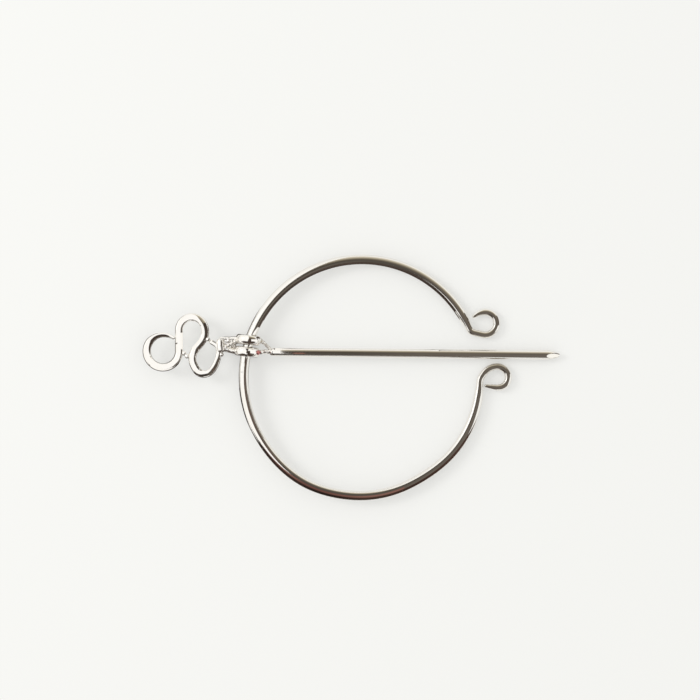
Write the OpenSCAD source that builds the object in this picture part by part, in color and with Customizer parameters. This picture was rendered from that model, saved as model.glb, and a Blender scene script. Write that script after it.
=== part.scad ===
// Kilt pin: an open wire hoop with curled ends, and a scroll-headed pin that hangs on it by two rings.
// It lies face up on a flat surface at z = 0. +X runs towards the pin's point, and +Y is the upper side.
// The origin is under the middle of the whole pin. All sizes are in millimetres and degrees.

/* [Hoop] */
// Radius of the hoop, to the middle of its wire
hoop_r = 24.2; // [23.6:0.1:26]
// Thickness of the hoop's wire
hoop_wire_d = 2; // [1.6:0.1:2]
// Thickness of the wire where it is drawn down for the curls
curl_wire_d = 1.48; // [1.3:0.02:1.8]
// Length over which the hoop's wire is drawn down
draw_length = 1.3; // [1:0.1:2.5]
// Where the upper end leaves the hoop's circle, from +X
upper_end_angle = 26.9; // [25:0.1:30]
// Where the lower end leaves the hoop's circle, from +X
lower_end_angle = -4.7; // [-9:0.1:-4]
// Direction of the middle of the gap, from +X
gap_angle = 10.3; // [8:0.1:13]
// Thickness of the wire at the very end of each curl
curl_tip_d = 0.7; // [0.5:0.1:1.2]

/* [Rings] */
// Where on the hoop the two rings hang, from +X
ring_angle = 164.4; // [158:0.1:172]
// Radius of the hole through each ring
ring_hole_r = 1.44; // [1.4:0.02:1.7]
// Thickness of a ring's wall
ring_wall = 1.22; // [1:0.02:1.4]
// Width of a ring along the hoop's wire
ring_width = 1.9; // [1.7:0.1:2]
// Distance between the middles of the two rings
ring_pitch = 2.43; // [2.3:0.01:2.8]
// Lean of the rings' axis from square to the shaft
ring_lean = 5.7; // [3:0.1:8]

/* [Shaft] */
// Thickness of the shaft where it starts
shaft_start_d = 1.76; // [1.5:0.02:2]
// Thickness of the shaft's straight stretch next to the point
shaft_d = 2; // [1.8:0.1:2]
// Where the shaft starts, from the middle of the rings
shaft_start = 5.2; // [4.8:0.1:6]
// Where the straight stretch starts
straight_start = 54.6; // [54.4:0.1:56]
// Where the point starts
point_start = 61.5; // [60:0.1:64]
// Length of the ground point
point_length = 2.35; // [2:0.05:4]
// Thickness of the wire at the end of the point, before it is ground
point_d = 0.8; // [0.6:0.1:1.2]
// Offset of the shaft from the middle of the rings
shaft_y = -1.24; // [-1.5:0.02:-1.1]
// Direction of the shaft, from +X
shaft_angle = -0.6; // [-1:0.1:0]

/* [Scroll head] */
// Thickness of the scroll's wire
scroll_wire_d = 1.7; // [1.4:0.1:1.8]
// Thickness of the scroll's free end
scroll_tip_d = 0.7; // [0.5:0.1:1]
// Length of the scroll's tapered free end
scroll_taper = 2.9; // [2:0.1:3.2]

/* [Hidden] */
$fn = 48;

// Bends of the hoop's two ends: straight run before the bend, bend radius, angle turned.
upper_bends = [
    [0, 0.95, 50],
    [2, 2.35, 102.5],
    [0, 2.3, 105],
];
lower_bends = [
    [0, 1.5, 28.5],
    [0.8, 3.45, 57],
    [0, 2.25, 92],
    [0, 2.05, 92],
];
upper_taper = 2.2;
lower_taper = 2.8;

// Bends of the scroll, from its soldered start to its free end, in the same columns.
scroll_start = [-7.92, 0.92];
scroll_heading = -28.5;
scroll_bends = [
    [1.35, 1.5, -61.2],
    [0, 6.6, -32.7],
    [0.4, 1.95, -119.2],
    [0.85, 2.9, -68],
    [1.7, 3.6, 60.3],
    [0, 2.64, 160.6],
    [4.25, 3.33, -264],
];
taper_turn = -25;

// Solder granules and blobs: place on the pin, then radius.
granules = [
    [-13.05, -1.7, 0.1, 0.52],
    [-12.4, -2.24, 0.1, 0.56],
    [-7.75, 0.98, 0.15, 0.62],
    [-5.55, 0.34, 0, 0.95],
    [-5.46, -0.62, 0, 0.9],
    [-5.2, -1.95, 0.1, 0.44],
    [-2.72, 0.72, 0.35, 0.42],
    [-3.9, 0.1, 0, 0.8],
    [3.7, -1.2, 0.25, 0.62],
];

// Necks that join the rings to the scroll and the shaft: start, end, radius.
necks = [
    [[-5.3, 0.45], [-2.35, 1.3], 0.66],
    [[-5.3, -0.5], [-2.45, -1.15], 0.66],
    [[2.35, -1.2], [5.2, -1.24], 0.66],
    [[2.4, 0.9], [4.9, -1], 0.46],
];

// A ball joins two stretches of bent wire: how much fuller it is than the wire's radius,
// and how far inside it each stretch ends.
joint_extra = 0.03;
joint_trim = 0.1;

wire_r = hoop_wire_d / 2;
curl_r = curl_wire_d / 2;
shaft_r = shaft_d / 2;
ring_outer_r = ring_hole_r + ring_wall;
ring_fillet_r = ring_wall / 2;
ring_flat = ring_width / 2 - ring_fillet_r;

// The point's ground flat: how steeply it slopes, how far it is rolled towards -Y,
// and how thick the edge is that it leaves at the end.
flat_slope = 14;
flat_roll = 14;
flat_left = 0.76;

// The rings stand on the surface, and the pin leans down until its shaft touches it too.
ring_height = ring_outer_r + 0.004;
pin_tilt = asin((ring_height - shaft_r) / point_start);

// The hoop lies in the rings, and leans down until both its curls touch the surface.
curl_reach = 30;
ring_reach = hoop_r * cos(ring_angle - gap_angle);
hoop_tilt = asin((ring_height - curl_r - joint_extra) / (curl_reach - ring_reach));

// The hoop's centre is this far from the middle of the whole pin.
hoop_x = 2.19;
ring_place = hoop_r * [cos(ring_angle), sin(ring_angle)];

// A straight wire or a taper along +X from the origin, cut short by trim at each end.
module straight(length, r1, r2, trim = 0) {
    translate([trim, 0, 0])
        rotate([0, 90, 0])
            cylinder(h = length - 2 * trim, r1 = r1, r2 = r2);
}

// A turned piece along +X: its outline is a list of radius and distance along the axis.
module turned(outline) {
    rotate([0, 90, 0])
        rotate_extrude()
            polygon(outline);
}

// A wire bent round the origin, from one angle to another, cut short by the joint's trim at each end.
module arc(bend_r, from, to, r) {
    cut = joint_trim / bend_r * 180 / PI;
    rotate([0, 0, from + cut])
        rotate_extrude(angle = to - from - 2 * cut)
            translate([bend_r, 0])
                circle(r);
}

// The ball that joins two stretches of a wire of radius r. Its poles lie inside the wire.
module joint(r) {
    rotate([0, 90, 0])
        sphere(r + joint_extra);
}

// A bend that starts at the origin along +X, and turns towards +Y if turn is positive.
module bend(bend_r, turn, r) {
    side = sign(turn);
    start = side > 0 ? -90 : 90 + turn;
    translate([0, side * bend_r, 0])
        arc(bend_r, start, start + abs(turn), r);
}

// Moves its children to the end of that bend.
module after_bend(bend_r, turn) {
    side = sign(turn);
    translate([0, side * bend_r, 0])
        rotate([0, 0, turn])
            translate([0, -side * bend_r, 0])
                children();
}

// One wire along a list of bends, with its children at its end.
module bent_wire(bends, r, i = 0) {
    joint(r);
    if (i < len(bends)) {
        run = bends[i][0];
        bend_r = bends[i][1];
        turn = bends[i][2];
        if (run > 0)
            straight(run, r, r, joint_trim);
        translate([run, 0, 0]) {
            if (run > 0)
                joint(r);
            bend(bend_r, turn, r);
            after_bend(bend_r, turn)
                bent_wire(bends, r, i + 1)
                    children();
        }
    } else {
        children();
    }
}

// A taper along +X that ends in a blunt tip.
module taper(length, r1, r2) {
    turned([
        [0, joint_trim],
        [r1, joint_trim],
        [r2, length - 0.8 * r2],
        [0.8 * r2, length - 0.3 * r2],
        [0.4 * r2, length],
        [0, length],
    ]);
}

// One end of the hoop: the wire is drawn down, bent outwards and curled into an open eye.
module curl(bends, taper_length) {
    joint(wire_r);
    straight(draw_length, wire_r, curl_r, joint_trim);
    translate([draw_length, 0, 0])
        bent_wire(bends, curl_r)
            taper(taper_length, curl_r, curl_tip_d / 2);
}

// The hoop flat in its own plane, with its centre at the origin.
module flat_hoop() {
    arc(hoop_r, upper_end_angle, 360 + lower_end_angle, wire_r);
    rotate([0, 0, upper_end_angle])
        translate([hoop_r, 0, 0])
            rotate([0, 0, -90])
                curl(upper_bends, upper_taper);
    rotate([0, 0, lower_end_angle])
        translate([hoop_r, 0, 0])
            rotate([0, 0, 90])
                curl([for (b = lower_bends) [b[0], b[1], -b[2]]], lower_taper);
}

// A ring of flattened wire round the Y axis: its section is a square with a half circle at each side.
module ring() {
    rotate([-90, 0, 0])
        rotate_extrude()
            translate([ring_hole_r + ring_fillet_r, 0]) {
                square([ring_wall, 2 * ring_flat], center = true);
                for (side = [-1, 1])
                    translate([0, side * ring_flat])
                        circle(ring_fillet_r);
            }
}

// A round neck between two places in the pin's own plane.
module neck(from, to, r) {
    run = to - from;
    translate([from[0], from[1], 0])
        rotate([0, 0, atan2(run[1], run[0])])
            straight(norm(run), r, r);
}

// The shaft, with a rounded start and a point that is ground to one flat.
module shaft() {
    start_r = shaft_start_d / 2;
    end_r = point_d / 2;
    end = point_start + point_length;
    translate([0, shaft_y, 0]) {
        translate([shaft_start, 0, 0])
            joint(start_r);
        difference() {
            turned([
                [0, shaft_start + joint_trim],
                [start_r, shaft_start + joint_trim],
                [shaft_r, straight_start],
                [shaft_r, point_start],
                [0.82 * shaft_r, point_start + point_length / 2],
                [end_r, end],
                [0, end],
            ]);
            translate([end, 0, flat_left - end_r])
                rotate([flat_roll, flat_slope, 0])
                    translate([-6, -3, 0])
                        cube([9, 6, 3]);
        }
    }
}

// The scroll: one wire in three loops, tapered at its free end.
module scroll() {
    r = scroll_wire_d / 2;
    tip_r = scroll_tip_d / 2;
    mid_r = (r + tip_r) / 2;
    half = scroll_taper / 2;
    translate([scroll_start[0], scroll_start[1], 0])
        rotate([0, 0, scroll_heading])
            bent_wire(scroll_bends, r)
                rotate([0, 0, taper_turn / 2]) {
                    straight(half, r, mid_r, joint_trim);
                    translate([half, 0, 0])
                        rotate([0, 0, taper_turn]) {
                            joint(mid_r);
                            taper(half, mid_r, tip_r);
                        }
                }
}

// The pin flat in its own plane, with the middle of the two rings at the origin.
module flat_pin() {
    rotate([0, 0, -ring_lean])
        for (side = [-1, 1])
            translate([0, side * ring_pitch / 2, 0])
                ring();
    difference() {
        union() {
            shaft();
            scroll();
            for (n = necks)
                neck(n[0], n[1], n[2]);
            for (g = granules)
                translate([g[0], g[1], g[2]])
                    rotate([0, 90, 0])
                        sphere(g[3]);
        }
        rotate([0, 0, -ring_lean])
            rotate([90, 0, 0])
                cylinder(h = 2 * ring_pitch, r = ring_hole_r + ring_wall / 2, center = true);
    }
}

module hoop() {
    color("silver")
        translate([hoop_x + ring_place[0], ring_place[1], ring_height])
            rotate([0, 0, gap_angle])
                rotate([0, hoop_tilt, 0])
                    rotate([0, 0, -gap_angle])
                        translate([-ring_place[0], -ring_place[1], 0])
                            flat_hoop();
}

module pin() {
    color("gainsboro")
        translate([hoop_x + ring_place[0], ring_place[1], ring_height])
            rotate([0, 0, shaft_angle])
                rotate([0, pin_tilt, 0])
                    flat_pin();
}

hoop();
pin();
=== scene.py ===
"""A silver-plated wire kilt pin on white paper, seen from straight above.

The open hoop and the pin are wires swept along their own bent centre lines, and the solder is rounded
masses that run into them. Sizes are in millimetres until a mesh is made.
"""

import bpy
import numpy as np
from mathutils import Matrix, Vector


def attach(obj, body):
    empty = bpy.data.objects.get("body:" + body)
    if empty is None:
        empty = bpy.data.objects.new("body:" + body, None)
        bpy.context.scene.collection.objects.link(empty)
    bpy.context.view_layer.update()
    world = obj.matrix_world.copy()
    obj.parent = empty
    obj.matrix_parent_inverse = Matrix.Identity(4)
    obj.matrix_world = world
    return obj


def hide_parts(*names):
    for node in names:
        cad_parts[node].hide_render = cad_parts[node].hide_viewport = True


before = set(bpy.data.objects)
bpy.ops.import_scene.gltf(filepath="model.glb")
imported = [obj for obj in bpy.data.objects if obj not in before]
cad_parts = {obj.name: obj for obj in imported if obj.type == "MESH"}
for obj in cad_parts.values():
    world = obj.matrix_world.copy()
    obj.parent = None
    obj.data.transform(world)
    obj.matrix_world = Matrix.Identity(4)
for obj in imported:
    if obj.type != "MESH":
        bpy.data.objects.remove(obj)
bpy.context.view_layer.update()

MM = 0.001


# Places of the two pieces, by the values that the CAD model has

HOOP_R = 24.2
WIRE_R = 1.0
CURL_R = 0.74
RING_ANGLE = 164.4
GAP_ANGLE = 10.3
RING_HEIGHT = 2.664
HOOP_X = 2.19
SHAFT_ANGLE = -0.6
RING_LEAN = 5.7
SHAFT_REACH = 61.5
CURL_REACH = 30
CURL_LIFT = 0.03

# The pin leans until its shaft touches the table at its reach, and the hoop until both curls do.
PIN_TILT = np.degrees(np.arcsin((RING_HEIGHT - WIRE_R) / SHAFT_REACH))
RINGS_TO_CURLS = CURL_REACH - HOOP_R * np.cos(np.radians(RING_ANGLE - GAP_ANGLE))
HOOP_TILT = np.degrees(np.arcsin((RING_HEIGHT - CURL_R - CURL_LIFT) / RINGS_TO_CURLS))
RING_PLACE = HOOP_R * np.array([np.cos(np.radians(RING_ANGLE)), np.sin(np.radians(RING_ANGLE)), 0])
RINGS_AT = RING_PLACE + [HOOP_X, 0, RING_HEIGHT]


def about_z(degrees):
    """Matrix that turns points about Z."""
    c = np.cos(np.radians(degrees))
    s = np.sin(np.radians(degrees))
    return np.array([[c, -s, 0], [s, c, 0], [0, 0, 1]])


def about_y(degrees):
    """Matrix that turns points about Y."""
    c = np.cos(np.radians(degrees))
    s = np.sin(np.radians(degrees))
    return np.array([[c, 0, s], [0, 1, 0], [-s, 0, c]])


HOOP_TURN = about_z(GAP_ANGLE) @ about_y(HOOP_TILT) @ about_z(-GAP_ANGLE)
PIN_TURN = about_z(SHAFT_ANGLE) @ about_y(PIN_TILT)


def lay_hoop(points):
    """From the hoop's own flat plane to where it leans in the rings."""
    return (points - RING_PLACE) @ HOOP_TURN.T + RINGS_AT


def lay_pin(points):
    """From the pin's own flat plane to where it leans on the surface."""
    return points @ PIN_TURN.T + RINGS_AT


# Shapes

PATH_STEP = 0.02
CAP_SECTIONS = 9


def bent_path(start, heading, bends, soft=0.25, step=PATH_STEP):
    """Centre line of a bent wire in its own plane.

    bends are rows of straight run, bend radius and angle turned (+ is left). The curvature is 0 on a
    run and 1 / radius on a bend, and a bell curve of width `soft` softens it. The heading is its running
    sum, and the points are the running sum of the unit vector of the heading.
    """
    bends = np.array(bends, float)
    arcs = bends[:, 1] * np.radians(np.abs(bends[:, 2]))
    lengths = np.stack([bends[:, 0], arcs], 1).ravel()
    bend = np.stack([0 * arcs, np.sign(bends[:, 2]) / bends[:, 1]], 1).ravel()
    ends = np.cumsum(lengths)
    s = np.arange(0, ends[-1], step)
    curvature = bend[np.minimum(np.searchsorted(ends, s, side="right"), len(bend) - 1)]
    reach = np.arange(-4 * soft, 4 * soft + step / 2, step)
    weights = np.exp(-0.5 * (reach / soft) ** 2)
    weights /= weights.sum()
    edge = len(weights) // 2
    curvature = np.convolve(np.pad(curvature, edge, mode="edge"), weights, mode="valid")
    turned = np.radians(heading) + np.cumsum(curvature) * step
    x = start[0] + np.cumsum(np.cos(turned)) * step
    y = start[1] + np.cumsum(np.sin(turned)) * step
    return np.stack([x, y, 0 * x], 1)


def along(path):
    """Distance along a path at each of its points."""
    return np.concatenate([[0], np.cumsum(np.linalg.norm(np.diff(path, axis=0), axis=1))])


def straight_on(path, length, step=0.05):
    """A path with a straight run of `length` added at its end."""
    ahead = path[-1] - path[-2]
    ahead = ahead / np.linalg.norm(ahead)
    run = np.linspace(PATH_STEP, length, max(2, int(length / step)))
    return np.concatenate([path, path[-1] + run[:, None] * ahead])


def at(path, s):
    """Points at distances s along a path."""
    have = along(path)
    return np.stack([np.interp(s, have, path[:, k]) for k in range(3)], 1)


def rounded(length, first_r, last_r, step):
    """Distances along a wire with both ends rounded: even steps between two quarter circles."""
    quarter = np.linspace(0, np.pi / 2, CAP_SECTIONS)
    first = first_r * (1 - np.cos(quarter))
    last = length - last_r * (1 - np.sin(quarter))
    body = np.linspace(first_r, length - last_r, max(3, int((length - first_r - last_r) / step)))
    return np.concatenate([first[:-1], body, last[1:]])


def round_off(s, length, radius, first_r, last_r):
    """Radius at s with the two ends closed as half balls."""
    a = np.clip((first_r - s) / first_r, 0, 1)
    b = np.clip((s - length + last_r) / last_r, 0, 1)
    return radius * np.sqrt(np.clip(1 - a * a, 0, 1)) * np.sqrt(np.clip(1 - b * b, 0, 1))


def oval(v, power):
    """Points of the superellipse |c|^power + |s|^power = 1 at angles v: 2 is round, more is squarish."""
    c = np.sign(np.cos(v)) * np.abs(np.cos(v)) ** (2 / power)
    s = np.sign(np.sin(v)) * np.abs(np.sin(v)) ** (2 / power)
    return c, s


def closed_tube(rows, around):
    """Faces of `rows` rings of `around` points each, closed on one more point at each end."""
    i = np.arange(rows - 1)[:, None] * around
    j = np.arange(around)[None, :]
    k = (j + 1) % around
    quads = np.stack([i + j, i + around + j, i + around + k, i + k], -1).reshape(-1, 4)
    first = rows * around
    first_cap = np.stack([0 * j + first, j, k], -1).reshape(-1, 3)
    base = (rows - 1) * around
    last_cap = np.stack([0 * j + first + 1, base + k, base + j], -1).reshape(-1, 3)
    return quads.tolist() + first_cap.tolist() + last_cap.tolist()


def wire(path, radius, around=48, flatten=None, low=np.array([[1.0]]), power=2.0, rock=0.0):
    """Vertices and faces of a wire: its section carried along a path, closed at both ends.

    Each point is path + radius (c side + low s up), with c and s from the oval of that power. side is
    square to the path in its plane, up is square to both, and `rock` turns them about the path by that
    many degrees. `flatten` grinds the points, and a ground end closes on its middle.
    """
    ahead = np.gradient(path, axis=0)
    ahead /= np.linalg.norm(ahead, axis=1)[:, None]
    flat_up = np.array([0, 0, 1.0]) + 0 * ahead
    flat_side = np.cross(flat_up, ahead)
    turn = np.radians(rock + 0 * radius)[:, None]
    side = np.cos(turn) * flat_side + np.sin(turn) * flat_up
    up = np.cos(turn) * flat_up - np.sin(turn) * flat_side
    c, s = oval(np.linspace(0, 2 * np.pi, around, endpoint=False), power)
    across = side[:, None] * c[None, :, None] + (low * up)[:, None] * s[None, :, None]
    points = path[:, None] + across * radius[:, None, None]
    end = path[-1:]
    if flatten is not None:
        points = flatten(points)
        end = points[-2:-1].mean(1)
    vertices = np.concatenate([points[1:-1].reshape(-1, 3), path[:1], end])
    return vertices, closed_tube(len(path) - 2, around)


def ball(middle, size, around=32):
    """A round mass: middle + size (cos v cos u, sin v cos u, sin u), with one point at each pole."""
    u = np.linspace(-np.pi / 2, np.pi / 2, around // 2 + 1)[1:-1]
    v = np.linspace(0, 2 * np.pi, around, endpoint=False)
    u, v = np.meshgrid(u, v, indexing="ij")
    grid = np.stack([np.cos(u) * np.cos(v), np.cos(u) * np.sin(v), np.sin(u)], -1).reshape(-1, 3)
    poles = np.array([[0, 0, -1.0], [0, 0, 1.0]])
    vertices = np.concatenate([grid, poles]) * size + middle
    inside_out = closed_tube(around // 2 - 1, around)
    return vertices, [[loop[0], *loop[:0:-1]] for loop in inside_out]


def band(middle, hole_r, wall, width, lean, around=96, across=40, power=2.2):
    """A ring of flattened wire: its section, an oval of that power, carried round an axis near Y.

    Each point is (r cos u, y, r sin u), where r and y follow the oval, turned about Z by the lean.
    """
    c, s = oval(np.linspace(0, 2 * np.pi, across, endpoint=False), power)
    r = hole_r + wall / 2 + wall / 2 * c
    y = width / 2 * s
    u = np.linspace(0, 2 * np.pi, around, endpoint=False)
    points = np.stack([np.cos(u)[:, None] * r, 0 * u[:, None] + y, np.sin(u)[:, None] * r], -1)
    points = points.reshape(-1, 3) @ about_z(-lean).T + middle
    i = np.arange(around)[:, None]
    j = np.arange(across)[None, :]
    a = i * across + j
    b = (i + 1) % around * across + j
    c = (i + 1) % around * across + (j + 1) % across
    d = i * across + (j + 1) % across
    return points, np.stack([a, d, c, b], -1).reshape(-1, 4).tolist()


def joined(shapes):
    """Several shapes as one list of vertices and one of faces."""
    vertices = []
    faces = []
    for points, loops in shapes:
        start = sum(len(v) for v in vertices)
        vertices.append(points)
        faces += [[k + start for k in loop] for loop in loops]
    return np.concatenate(vertices), faces


def fused(shapes, voxel=0.06, rounds=8):
    """Shapes run into one skin, as solder does: found on a grid of `voxel` mm, then smoothed."""
    vertices, faces = joined(shapes)
    mesh = bpy.data.meshes.new("before_fusing")
    mesh.from_pydata(vertices.tolist(), [], faces)
    lump = bpy.data.objects.new("before_fusing", mesh)
    bpy.context.scene.collection.objects.link(lump)
    skin = lump.modifiers.new("skin", "REMESH")
    skin.mode = "VOXEL"
    skin.voxel_size = voxel
    soft = lump.modifiers.new("soft", "SMOOTH")
    soft.factor = 0.5
    soft.iterations = rounds
    seen = lump.evaluated_get(bpy.context.evaluated_depsgraph_get())
    done = seen.to_mesh()
    points = np.empty(len(done.vertices) * 3)
    done.vertices.foreach_get("co", points)
    loops = [list(p.vertices) for p in done.polygons]
    seen.to_mesh_clear()
    bpy.data.objects.remove(lump)
    bpy.data.meshes.remove(mesh)
    return points.reshape(-1, 3), loops


def piece(name, shapes, place, body, node):
    """Joins shapes into one mesh in metres, at its place, and makes it ride and stand for its CAD node."""
    vertices, faces = joined(shapes)
    mesh = bpy.data.meshes.new(name)
    mesh.from_pydata((place(vertices) * MM).tolist(), [], faces)
    mesh.update()
    mesh.shade_smooth()
    made = bpy.data.objects.new(name, mesh)
    bpy.context.scene.collection.objects.link(made)
    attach(made, body)
    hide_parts(node)
    return made


# Hoop: an open ring whose ends are drawn down, bent outwards and curled into open eyes

UPPER_END = 26.9
LOWER_END = -4.7
DRAW = 1.3
DRAW_SOFTENS_BEFORE = 2.8
DRAW_SOFTENS_BY = 2.4
UPPER_TAIL = 0.9
LOWER_TAIL = 2.2
UPPER_TAPER = 3
LOWER_TAPER = 3.6
TAPER_POWER = 1.3
CURL_TIP_R = 0.3
HOOP_STEP = 0.2

# Rows of height and angle of the places where the hoop was bent off its circle
HAND_BENDS = [[0.28, 240], [-0.33, 301]]
HAND_BEND_WIDTH = 17

FAR_SIDE = (UPPER_END + 360 + LOWER_END) / 2
far = np.radians(FAR_SIDE)
far_point = HOOP_R * np.array([np.cos(far), np.sin(far)])

upper = bent_path(far_point, FAR_SIDE - 90, [
    [0, HOOP_R, UPPER_END - FAR_SIDE],
    [DRAW, 0.95, 50],
    [2, 2.35, 102.5],
    [0, 2.3, 98],
    [0, 4, 24],
])
upper = straight_on(upper, UPPER_TAIL)
lower = bent_path(far_point, FAR_SIDE + 90, [
    [0, HOOP_R, LOWER_END + 360 - FAR_SIDE],
    [DRAW, 1.5, -28.5],
    [0.8, 3.45, -57],
    [0, 2.25, -90],
    [0, 2.05, -92],
    [0, 6, -6],
])
lower = straight_on(lower, LOWER_TAIL)


def hand_bent(points):
    """The hoop's small unevenness: a hand bend moves it out by height exp(-(angle from it / width)^2)."""
    angle = np.degrees(np.arctan2(points[:, 1], points[:, 0])) % 360
    rise = sum(h * np.exp(-((angle - at_angle) / HAND_BEND_WIDTH) ** 2) for h, at_angle in HAND_BENDS)
    return points * (1 + rise / np.hypot(points[:, 0], points[:, 1]))[:, None]


def drawn(s, length, arc, taper):
    """Radius of one half of the hoop: full on the arc, drawn down near its end, tapered at the free end.

    The drawing down is a smooth step, 3 t^2 - 2 t^3, and the taper is a power of the way along it.
    """
    t = np.clip((s - arc + DRAW_SOFTENS_BEFORE) / (DRAW + DRAW_SOFTENS_BY), 0, 1)
    radius = WIRE_R + (CURL_R - WIRE_R) * t * t * (3 - 2 * t)
    t = np.clip((s - length + taper) / taper, 0, 1)
    return radius + (CURL_TIP_R - CURL_R) * t ** TAPER_POWER


upper_arc = HOOP_R * np.radians(FAR_SIDE - UPPER_END)
lower_arc = HOOP_R * np.radians(LOWER_END + 360 - FAR_SIDE)
upper_length = along(upper)[-1]
centre_line = hand_bent(np.concatenate([upper[::-1], lower]))
whole = along(centre_line)[-1]
s = rounded(whole, CURL_TIP_R, CURL_TIP_R, HOOP_STEP)
from_far = s - upper_length
radius = np.where(
    from_far < 0,
    drawn(-from_far, upper_length, upper_arc, UPPER_TAPER),
    drawn(from_far, whole - upper_length, lower_arc, LOWER_TAPER),
)
radius = round_off(s, whole, radius, CURL_TIP_R, CURL_TIP_R)
hoop = piece(
    "hoop_wire",
    [wire(at(centre_line, s), radius)],
    lay_hoop,
    "hoop",
    "hoop",
)


# Pin: a shaft with a ground point, a scroll head of bent wire and two rings round the hoop's wire

SHAFT_Y = -1.24
SHAFT_START = 5.2
SHAFT_START_R = 0.88
STRAIGHT_START = 54
POINT_START = 61.2
POINT_END = 63.82
POINT_R = 0.38
POINT_POWER = 1.8
SHARP_R = 0.001
POINT_CAP = 0.01
SHAFT_STEP = 0.25
POINT_SECTIONS = 90
GROUND_SLOPE = 14
GROUND_ROLL = 14
GROUND_LEFT = 0.74


def ground(points):
    """The point's ground flat: the arc of each section that stands above a sloping plane becomes its chord.

    The plane slopes down towards the tip, is rolled a little towards -Y, and leaves a thin edge at the end.
    On a section of radius r it runs h from the middle, so the arc spans acos(h / r) on both sides.
    """
    c = np.cos(np.radians(GROUND_ROLL))
    s = np.sin(np.radians(GROUND_ROLL))
    normal = about_y(GROUND_SLOPE) @ np.array([0, -s, c])
    on_plane = np.array([POINT_END, SHAFT_Y, GROUND_LEFT - POINT_R])
    y = points[..., 1] - SHAFT_Y
    z = points[..., 2]
    r = np.hypot(y, z)
    rise = np.hypot(normal[1], normal[2])
    h = (normal @ (on_plane - [0, SHAFT_Y, 0]) - normal[0] * points[..., 0]) / rise
    facing = np.arctan2(normal[2], normal[1])
    away = (np.arctan2(z, y) - facing + np.pi) % (2 * np.pi) - np.pi
    reach = np.arccos(np.clip(h / r, -1, 1))
    along_chord = away / np.maximum(reach, 1e-6) * np.sqrt(np.clip(r * r - h * h, 0, None))
    lowered = points.copy()
    above = np.abs(away) < reach
    ground_y = h * np.cos(facing) - along_chord * np.sin(facing) + SHAFT_Y
    ground_z = h * np.sin(facing) + along_chord * np.cos(facing)
    lowered[..., 1] = np.where(above, ground_y, lowered[..., 1])
    lowered[..., 2] = np.where(above, ground_z, lowered[..., 2])
    return lowered


# The shaft starts with a half ball and has closer sections on its point.
ball_start = SHAFT_START - SHAFT_START_R
s = rounded(POINT_END - ball_start, SHAFT_START_R, POINT_CAP, SHAFT_STEP)
point = np.linspace(POINT_START - 0.6, POINT_END - 0.02, POINT_SECTIONS) - ball_start
s = np.unique(np.concatenate([s, point]))
x = s + ball_start
t = np.clip((x - SHAFT_START) / (STRAIGHT_START - SHAFT_START), 0, 1)
radius = SHAFT_START_R + (WIRE_R - SHAFT_START_R) * t
t = np.clip((x - POINT_START) / (POINT_END - POINT_START), 0, 1)
radius = radius + (POINT_R - WIRE_R) * t ** POINT_POWER
radius = round_off(s, s[-1], radius, SHAFT_START_R, SHARP_R)
shaft = wire(np.stack([x, 0 * x + SHAFT_Y, 0 * x], 1), radius, around=96, flatten=ground)

SCROLL_START_R = 0.5
SCROLL_GROWTH = 0.33
SCROLL_GROWS_OVER = 11
SCROLL_TAPER = 5.5
SCROLL_TAPER_LOSS = 0.52
SCROLL_TAPER_POWER = 0.8
SCROLL_TIP_R = 0.3
SCROLL_STEP = 0.15
SCROLL_FLATNESS = 0.86
FLATTER_BY_DEGREE = 0.0115

scroll_path = bent_path([-7.92, 0.92], -28.5, [
    [1.35, 1.5, -61.2],
    [0, 6.6, -32.7],
    [0.4, 1.95, -119.2],
    [0.85, 2.9, -68],
    [1.7, 3.6, 60.3],
    [0, 2.64, 160.6],
    [4.25, 3.3, -264],
    [0, 3.9, -43],
])
scroll_length = along(scroll_path)[-1]
s = rounded(scroll_length, SCROLL_START_R, SCROLL_TIP_R, SCROLL_STEP)
grow = np.clip(s / SCROLL_GROWS_OVER, 0, 1)
taper = np.clip((s - scroll_length + SCROLL_TAPER) / SCROLL_TAPER, 0, 1)
radius = SCROLL_START_R + SCROLL_GROWTH * grow * grow * (3 - 2 * grow)
radius = radius - SCROLL_TAPER_LOSS * taper ** SCROLL_TAPER_POWER
radius = round_off(s, scroll_length, radius, SCROLL_START_R, SCROLL_TIP_R)

# Hammering left the wire lower than wide and turned it by some degrees, more on some bends than on others,
# with two small waves on top.
turned_at = [3, 5, 9, 11.5, 14.5, 16, 22, 25, scroll_length - 12, scroll_length - 4]
turned_by = [0, -20, -20, 0, 0, 22, 22, 0, 0, 28]
tilt = np.interp(s, turned_at, turned_by)
hammered = tilt + 4 * np.sin(s / 1.7) + 3 * np.sin(s / 0.83 + 1)
thickness = SCROLL_FLATNESS - FLATTER_BY_DEGREE * np.abs(tilt)[:, None]
scroll = wire(at(scroll_path, s), radius, around=64, low=thickness, power=2.3, rock=hammered)

RING_OFFSET = 1.215
RING_HOLE_R = 1.44
RING_WALL = 1.22
RING_WIDTH = 1.95
rings = []
for side in (-1, 1):
    middle = about_z(-RING_LEAN) @ np.array([0, side * RING_OFFSET, 0])
    rings.append(band(middle, RING_HOLE_R, RING_WALL, RING_WIDTH, RING_LEAN))

SHARP_EDGE = 24
pin = piece(
    "pin_with_scroll_head",
    [shaft, scroll, *rings],
    lay_pin,
    "pin",
    "pin",
)
pin.data.set_sharp_from_angle(angle=np.radians(SHARP_EDGE))


# Solder

def rod(start, end, r, step=0.1):
    """A short round-ended rod between two places."""
    a = np.array(start, float)
    b = np.array(end, float)
    s = rounded(np.linalg.norm(b - a) + 2 * r, r, r, step)
    ahead = (b - a) / np.linalg.norm(b - a)
    path = a + ahead * (s - r)[:, None]
    return wire(path, round_off(s, s[-1], 0 * s + r, r, r), around=32)


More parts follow.
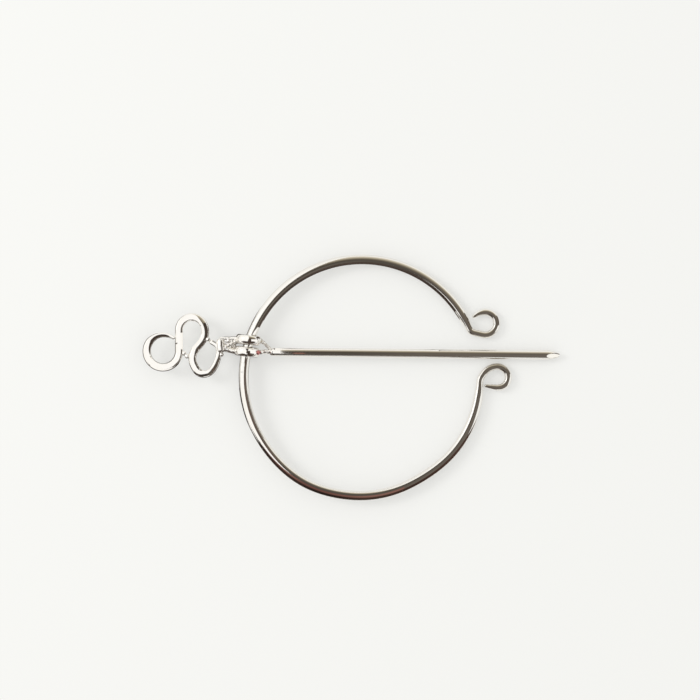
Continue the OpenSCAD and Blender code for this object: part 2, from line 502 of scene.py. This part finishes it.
# Rows of middle and radius
BEADS = [
    [-12.4, -2.24, 0.1, 0.5],
    [-13.05, -1.65, 0.1, 0.5],
    [-8.16, 1.22, 0.15, 0.46],
    [-5.39, -1.86, 0.1, 0.44],
    [-2.6, 0.8, 0.55, 0.4],
    [-3.96, 0.95, 0.15, 0.42],
    [-3.9, 0.1, 0.1, 0.42],
    [-4.5, -0.3, 0.2, 0.5],
    [-3.3, 0.36, 0.3, 0.36],
    [-4.5, 0.85, -0.1, 0.55],
    [-3.3, 0.95, -0.1, 0.55],
    [-3.5, -0.35, -0.1, 0.55],
    [-2.9, 0.1, -0.2, 0.5],
    [2.75, -1.3, 0.25, 0.48],
    [3.63, -1.1, 0.3, 0.44],
    [4.55, -1.0, 0.2, 0.46],
    [3.1, 0.7, 0.1, 0.42],
    [1.98, -1.42, 1.35, 0.5],
]

# Rows of start, end and radius
RODS = [
    [[-5.65, 0.7, 0.25], [-5.5, -0.7, 0.25], 0.82],
    [[-5.5, 1.35, 0], [-2.3, 1.45, 0], 0.46],
    [[-5.2, 0.4, -0.1], [-2.4, 0.75, -0.1], 0.42],
    [[-5.1, -0.55, 0], [-2.6, -1.1, 0], 0.62],
    [[2.3, 1.5, -0.3], [4.75, -0.8, 0], 0.34],
    [[2.3, -1.2, 0], [5.3, -1.24, 0], 0.46],
]
solder = piece(
    "solder_on_the_pin",
    [fused([ball(row[:3], row[3]) for row in BEADS] + [rod(*row) for row in RODS])],
    lay_pin,
    "pin",
    "pin",
)


# Materials

def linear(hex_colour):
    """An sRGB hex colour as linear red, green, blue and alpha."""
    c = np.array([int(hex_colour[i:i + 2], 16) for i in (1, 3, 5)]) / 255
    c = np.where(c <= 0.04045, c / 12.92, ((c + 0.055) / 1.055) ** 2.4)
    return (*c.tolist(), 1.0)


def add(tree, kind, links=(), **settings):
    """Adds a node; settings are its own properties or, failing that, the values of its inputs.

    links are pairs of an input's name or number and the output that feeds it.
    """
    node = tree.nodes.new(kind)
    for key, value in settings.items():
        if hasattr(node, key):
            setattr(node, key, value)
        else:
            node.inputs[key.replace("_", " ")].default_value = value
    for socket, source in links:
        tree.links.new(source, node.inputs[socket])
    return node


def new_material(name):
    """An empty node material and its node tree."""
    material = bpy.data.materials.new(name)
    material.use_nodes = True
    material.node_tree.nodes.clear()
    return material, material.node_tree


# A painted reflection: a small red spot painted into the pin's metal colour, where a red thing nearby shows
# in the metal.
RED_GLINT_AT = (-18.85, 5.13, 4.2)
RED_GLINT_R = 0.54
RED_GLINT_DEPTH = 0.4
RED_GLINT_COLOUR = "#c27d79"


def silver_plate(name, colour, roughness, wave_size=3.8, wave_depth=0.024, red_glint=False):
    """Bright silver plate on drawn brass wire: a mirror with a soft waviness of the wire under it.

    The waves have a size and a depth in mm. When asked for, one small round spot with a soft edge is
    painted in red, a painted reflection of a red thing nearby: all that is within RED_GLINT_R of
    RED_GLINT_AT, with heights counted by RED_GLINT_DEPTH only.
    """
    material, tree = new_material(name)
    place = add(tree, "ShaderNodeTexCoord").outputs["Object"]
    waves = add(tree, "ShaderNodeTexNoise", [("Vector", place)], Scale=1 / (wave_size * MM), Detail=2.0,
                Roughness=0.4)
    bump = add(tree, "ShaderNodeBump", [("Height", waves.outputs["Fac"])], Strength=1.0,
               Distance=wave_depth * MM)
    shader = add(tree, "ShaderNodeBsdfPrincipled", [("Normal", bump.outputs["Normal"])],
                 Base_Color=linear(colour), Metallic=1.0, Roughness=roughness)
    if red_glint:
        away = add(tree, "ShaderNodeVectorMath", [(0, place)], operation="SUBTRACT")
        away.inputs[1].default_value = [c * MM for c in RED_GLINT_AT]
        squeezed = add(tree, "ShaderNodeVectorMath", [(0, away.outputs[0])], operation="MULTIPLY")
        squeezed.inputs[1].default_value = (1, 1, RED_GLINT_DEPTH)
        distance = add(tree, "ShaderNodeVectorMath", [(0, squeezed.outputs[0])], operation="LENGTH")
        spot = add(tree, "ShaderNodeMapRange", [("Value", distance.outputs["Value"])],
                   From_Min=1.15 * RED_GLINT_R * MM, From_Max=0.8 * RED_GLINT_R * MM)
        tint = add(tree, "ShaderNodeMix", [("Factor", spot.outputs["Result"])], data_type="RGBA")
        tint.inputs["A"].default_value = linear(colour)
        tint.inputs["B"].default_value = linear(RED_GLINT_COLOUR)
        tree.links.new(tint.outputs["Result"], shader.inputs["Base Color"])
    add(tree, "ShaderNodeOutputMaterial", [("Surface", shader.outputs["BSDF"])])
    return material


# The wires are polished, and the solder is duller and more uneven.
hoop.data.materials.append(silver_plate("silver_plated_hoop_wire", "#f2efea", 0.09))
# The pin and its solder carry the painted red reflection spot.
pin.data.materials.append(silver_plate("silver_plated_pin_wire", "#f4f1ec", 0.08, red_glint=True))
solder.data.materials.append(silver_plate("silver_plated_solder", "#f4f1ec", 0.22, 0.5, 0.05, red_glint=True))


TOOTH = 1.1111
TOOTH_DEPTH = 0.2


def paper():
    """Smooth white card: matt, with the faintest tooth, and a little light of its own to stay pale."""
    material, tree = new_material("white_card")
    place = add(tree, "ShaderNodeTexCoord").outputs["Object"]
    tooth = add(tree, "ShaderNodeTexNoise", [("Vector", place)], Scale=1 / (TOOTH * MM), Detail=3.0)
    bump = add(tree, "ShaderNodeBump", [("Height", tooth.outputs["Fac"])], Strength=0.05,
               Distance=TOOTH_DEPTH * MM)
    shader = add(tree, "ShaderNodeBsdfPrincipled", [("Normal", bump.outputs["Normal"])],
                 Base_Color=linear("#b4b4b2"), Roughness=0.75, Specular_IOR_Level=0.0,
                 Emission_Color=linear("#fbfbf9"), Emission_Strength=0.4)
    add(tree, "ShaderNodeOutputMaterial", [("Surface", shader.outputs["BSDF"])])
    return material


NOISE_RANGE = (0.36, 0.64)
NOISE_SHARE = 0.6
DRIFT_RANGE = (-0.3, 0.7)


def room_tone(name, dark, light, size, edge=None, side=None, strength=1.0):
    """What the metal reflects of a room: a drift from dark to light, and towards +Y a soft edge.

    The drift is noise of `size` mm. With `side` it has a share of the noise only, and gets lighter along X
    between the two distances of `side`. `edge` is two distances on Y and a ramp of colours between them, as
    rows of place from 0 to 1, colour and how much it covers.
    """
    material, tree = new_material(name)
    place = add(tree, "ShaderNodeTexCoord").outputs["Object"]
    axes = add(tree, "ShaderNodeSeparateXYZ", [("Vector", place)])
    noise = add(tree, "ShaderNodeTexNoise", [("Vector", place)], Scale=1 / (size * MM), Detail=2.0)
    blend = add(tree, "ShaderNodeMapRange", [("Value", noise.outputs["Fac"])],
                From_Min=NOISE_RANGE[0], From_Max=NOISE_RANGE[1])
    if side:
        drift = add(tree, "ShaderNodeMapRange", [("Value", axes.outputs["X"])],
                    From_Min=side[0] * MM, From_Max=side[1] * MM,
                    To_Min=DRIFT_RANGE[0], To_Max=DRIFT_RANGE[1])
        links = [(0, blend.outputs["Result"]), (2, drift.outputs["Result"])]
        blend = add(tree, "ShaderNodeMath", links, operation="MULTIPLY_ADD", use_clamp=True)
        blend.inputs[1].default_value = NOISE_SHARE
    colour = add(tree, "ShaderNodeMix", [("Factor", blend.outputs[0])], data_type="RGBA")
    colour.inputs["A"].default_value = linear(dark)
    colour.inputs["B"].default_value = linear(light)
    tone = colour.outputs["Result"]
    if edge:
        first, last, colours = edge
        across = add(tree, "ShaderNodeMapRange", [("Value", axes.outputs["Y"])],
                     From_Min=first * MM, From_Max=last * MM)
        ramp = add(tree, "ShaderNodeValToRGB", [("Fac", across.outputs["Result"])])
        stops = ramp.color_ramp.elements
        for k, (where, hex_colour, cover) in enumerate(colours):
            stop = stops[k] if k < 2 else stops.new(where)
            stop.position = where
            stop.color = (*linear(hex_colour)[:3], cover)
        over = add(tree, "ShaderNodeMix", [("Factor", ramp.outputs["Alpha"])], data_type="RGBA")
        tree.links.new(tone, over.inputs["A"])
        tree.links.new(ramp.outputs["Color"], over.inputs["B"])
        tone = over.outputs["Result"]
    shader = add(tree, "ShaderNodeEmission", [("Color", tone)], Strength=strength)
    add(tree, "ShaderNodeOutputMaterial", [("Surface", shader.outputs["Emission"])])
    return material


# Studio

ARC_POINTS = 25


def oblong(x0, x1, y0, y1):
    """Outline of an oblong between two X and two Y."""
    return [[x0, y0], [x1, y0], [x1, y1], [x0, y1]]


def arc_strip(inner, outer, first, last, middle=(HOOP_X, 0)):
    """Outline of a strip between two radii round a middle, from one angle to another.

    inner may also be a pair, its radii at the two ends.
    """
    a = np.radians(np.linspace(first, last, ARC_POINTS))
    circle = np.stack([np.cos(a), np.sin(a)], 1)
    inner = np.linspace(*np.broadcast_to(inner, 2), ARC_POINTS)[:, None]
    return (np.concatenate([inner * circle, outer * circle[::-1]]) + middle).tolist()


def disc(r, middle):
    """Outline of a disc round a middle."""
    a = np.radians(np.linspace(360, 0, ARC_POINTS)[:-1])
    return (r * np.stack([np.cos(a), np.sin(a)], 1) + middle).tolist()


def level(outline, z):
    """Corners of a level card at height z."""
    return [[x, y, z] for x, y in outline]


def upright(a, b, low, high):
    """Corners of an upright card over the line from a to b, between two heights."""
    return [[*a, low], [*b, low], [*b, high], [*a, high]]


def stage_mesh(name, corners, faces, material):
    """A table or card of flat faces, from corners in millimetres."""
    mesh = bpy.data.meshes.new(name)
    mesh.from_pydata((np.array(corners) * MM).tolist(), [], faces)
    mesh.materials.append(material)
    made = bpy.data.objects.new(name, mesh)
    bpy.context.scene.collection.objects.link(made)
    return made


def reflected_card(name, corners, material, faces=None):
    """A card beside or over the table that the camera and the paper don't see, only the metal."""
    card = stage_mesh(name, corners, faces or [list(range(len(corners)))], material)
    card.visible_camera = False
    card.visible_diffuse = False
    card.visible_shadow = False


def reflected_wall(name, material, radius, first, last, low, high, middle=(HOOP_X, 0)):
    """An upright card bent round a middle, from one angle to another.

    It stands on height low, and high is the pair of its top's heights at the two ends.
    """
    a = np.radians(np.linspace(first, last, ARC_POINTS))
    foot = np.stack([radius * np.cos(a) + middle[0], radius * np.sin(a) + middle[1], 0 * a + low], 1)
    top = foot.copy()
    top[:, 2] = np.linspace(*high, ARC_POINTS)
    faces = [[i, i + 1, i + ARC_POINTS + 1, i + ARC_POINTS] for i in range(ARC_POINTS - 1)]
    reflected_card(name, np.concatenate([foot, top]).tolist(), material, faces)


TABLE_HALF = 900
table_outline = oblong(-TABLE_HALF, TABLE_HALF, -TABLE_HALF, TABLE_HALF)
stage_mesh("table", level(table_outline, 0), [[0, 1, 2, 3]], paper())


# The room: a dim ceiling whose far side grows bright, a bright opening in it over the left, and dim walls.
# They give the round wires their long dark middle and their bright rims.
# The edge is two distances on Y, and rows of place between them, colour and cover.

CEILING = 58
CEILING_EDGE = [5, 230, [
    (0.0, "#5f5347", 0.0),
    (1.0, "#e6e0d2", 1.0),
    (0.09, "#6a6257", 0.5),
    (0.165, "#857c6b", 1.0),
    (0.245, "#a49b88", 1.0),
    (0.35, "#cbc3b0", 1.0),
    (0.51, "#dcd5c4", 1.0),
]]
DIM_OUTLINE = [
    [-13, -34], [-190, -85], [-190, -190], [260, -190], [88, -25], [88, -4],
    [150, 8], [150, 230], [-13.5, 230], [-13.5, 15], [-14, 15],
]
BRIGHT_OUTLINE = [[-200, -95], [-7.5, -40], [-7.5, 120], [-200, 120]]
reflected_card(
    "dim_ceiling",
    level(DIM_OUTLINE, CEILING),
    room_tone("dim_ceiling_brown", "#39342f", "#6e675f", 30, CEILING_EDGE, (-20, 30)),
)
reflected_card(
    "bright_ceiling",
    level(BRIGHT_OUTLINE, CEILING + 1),
    room_tone("bright_ceiling_white", "#ffffff", "#f6f4ee", 60, strength=1.15),
)
reflected_card(
    "dim_front",
    upright([-260, -190], [-22, -190], 0, CEILING),
    room_tone("dim_front_brown", "#2a211d", "#5c463d", 60),
)
reflected_card(
    "dim_right",
    upright([60, 7], [60, 32], 0, 20),
    room_tone("dim_right_grey", "#3a332f", "#5a4f49", 20),
)


# White cards: the broad bright faces of the scroll and the rings

LEFT_LOOP = (-38.4, 5.4)
SIDE_START = 3.4
SIDE_END = 14
SIDE_Z = (4.4, 11)
white = room_tone("white_reflector", "#ffffff", "#fbfaf6", 30, strength=1.1)
reflected_card("white_over_scroll", level(oblong(-70, -25.5, -3, 40), 16), white)
reflected_card("white_before_left_loop", upright([-44, -0.6], [-35, -0.6], 3.3, 6.5), white)
reflected_card("white_inside_scroll", upright([-32.5, 5.8], [-32.5, 9.2], 1.5, 13), white)
reflected_card("white_left_of_rings", upright([-25, SIDE_START], [-25, SIDE_END], *SIDE_Z), white)
reflected_card(
    "white_beside_rings",
    [[-17.9, SIDE_START, 10], [-14.4, SIDE_START, 5], [-14.4, 8.4, 5], [-17.9, 8.4, 10]],
    white,
)


# Dark cards: the dark lines on the rings, the scroll and the hoop's left side

OVER_RINGS = 10
BEFORE_RINGS_Z = (3.9, 11)
BETWEEN_RINGS_Y = 6.2
BETWEEN_RINGS_Z = (5.4, 8.6)
dark = room_tone("dark_reflector", "#3a322d", "#5a4f48", 12)
reflected_card("dark_over_rings", level(arc_strip(21, 24.4, 156, 173), OVER_RINGS), dark)
reflected_card("dark_over_hoop_left", level(arc_strip(20.8, 23.2, 173, 216), OVER_RINGS), dark)
reflected_card("dark_right_of_scroll", upright([-25.3, SIDE_START], [-25.3, SIDE_END], *SIDE_Z), dark)
reflected_card("dark_before_rings_left", upright([-28, 1.45], [-23.3, 1.2], *BEFORE_RINGS_Z), dark)

# Between the rings one card is dark to the upper ring, and two just before it are white to the lower one.
for name, x0, x1, y, tone in (
    ("dark_between_rings", -27.5, -16.5, BETWEEN_RINGS_Y, dark),
    ("white_between_rings_left", -27.5, -21.5, BETWEEN_RINGS_Y - 0.05, white),
    ("white_between_rings_right", -20.7, -16.5, BETWEEN_RINGS_Y - 0.05, white),
):
    reflected_card(name, upright([x0, y], [x1, y], *BETWEEN_RINGS_Z), tone)
reflected_card("dark_before_rings_right", upright([-20.8, 1.2], [-17.6, 1.04], *BEFORE_RINGS_Z), dark)

# A white wall just inside each dark one hides it from the shaft and from the loop's far side.
for name, radius, tone in (("white_inside_hoop", 19.8, white), ("dark_inside_hoop", 20, dark)):
    reflected_wall(name, tone, radius, 35, 154, 0, (4.6, 5))
for name, radius, tone in (("white_inside_left_loop", 1.5, white), ("dark_inside_left_loop", 1.6, dark)):
    reflected_wall(name, tone, radius, 60, 190, 3.3, (8.5, 4), LEFT_LOOP)
reflected_card("white_over_point", level(oblong(46, 52.5, -5, 0.6), 12), white)


# Rose and brown cards round the hoop's front: its reddish band and the dark line under it

FRONT_R = 29
FRONT_Z = 8
rose = room_tone("rose_reflector", "#6d4c44", "#8d695f", 14)
reflected_card("rose_over_hoop_left", level(arc_strip((28.6, 24.5), FRONT_R, 212, 238), FRONT_Z), rose)
reflected_card("rose_over_hoop_front", level(arc_strip((24.5, 24), FRONT_R, 238, 292), FRONT_Z), rose)
reflected_card("rose_over_shaft_start", level(oblong(-11.5, -9, -14, 2.5), 22), rose)
brown = room_tone("brown_reflector", "#2a211d", "#4a3730", 20)
for name, first, last, high in (
    ("brown_before_hoop_left", 198, 224, (0, FRONT_Z)),
    ("brown_before_hoop_middle", 224, 322, (FRONT_Z, FRONT_Z)),
    ("brown_before_hoop_right", 322, 342, (FRONT_Z, 0)),
):
    reflected_wall(name, brown, FRONT_R, first, last, 0, high)


# Brown places on the table, which the metal's lowest sides see

ON_TABLE = 0.02
AT_LOOP = 0.03
TABLE_AT_SCROLL = [[-36, -14], [-24, -14], [-19, 0], [-19, 15], [-26.5, 15], [-26.5, -2.5], [-36, -2.5]]
table_tone = room_tone("brown_table_in_the_metal", "#352e2a", "#574b44", 20)
for name, outline, z in (
    ("brown_table_front", oblong(-80, 80, -190, -29), ON_TABLE),
    ("brown_table_inside_hoop", arc_strip(17, 22.5, 30, 150), ON_TABLE),
    ("brown_table_left", oblong(-90, -41, -28.9, 30), ON_TABLE),
    ("brown_table_round_left_loop", arc_strip(4.3, 16, 150, 320, LEFT_LOOP), AT_LOOP),
    ("brown_table_inside_left_loop", disc(2.2, LEFT_LOOP), AT_LOOP),
):
    reflected_card(name, level(outline, z), table_tone)
reflected_wall("brown_round_left_loop", brown, 7, 140, 330, 0, (3.2, 3.2), LEFT_LOOP)
reflected_card("brown_table_at_scroll", level(TABLE_AT_SCROLL, ON_TABLE), table_tone)


# Light

world = bpy.data.worlds.new("soft_white_studio")
bpy.context.scene.world = world
world.use_nodes = True
world.node_tree.nodes.clear()
sky = add(world.node_tree, "ShaderNodeBackground", Color=linear("#fbfbf9"), Strength=1.05)
add(world.node_tree, "ShaderNodeOutputWorld", [("Surface", sky.outputs["Background"])])


def softbox(name, place, size, power):
    """A square area light that shines towards the middle of the frame."""
    light = bpy.data.lights.new(name, "AREA")
    light.size = size * MM
    light.energy = power
    made = bpy.data.objects.new(name, light)
    bpy.context.scene.collection.objects.link(made)
    made.location = np.array(place) * MM
    made.rotation_euler = Vector(-np.array(place)).to_track_quat("-Z", "Y").to_euler()


softbox("window_light", (-560, 200, 420), 260, 1.6)


# Camera, straight above the object

CAMERA_AT = np.array([-0.27, 5.64, 400])
camera_data = bpy.data.cameras.new("camera")
camera_data.lens = 100
camera_data.sensor_width = 36
camera_data.clip_start = 0.01
camera = bpy.data.objects.new("camera", camera_data)
bpy.context.scene.collection.objects.link(camera)
camera.location = CAMERA_AT * MM
bpy.context.scene.camera = camera
bpy.context.scene.view_settings.view_transform = "Standard"
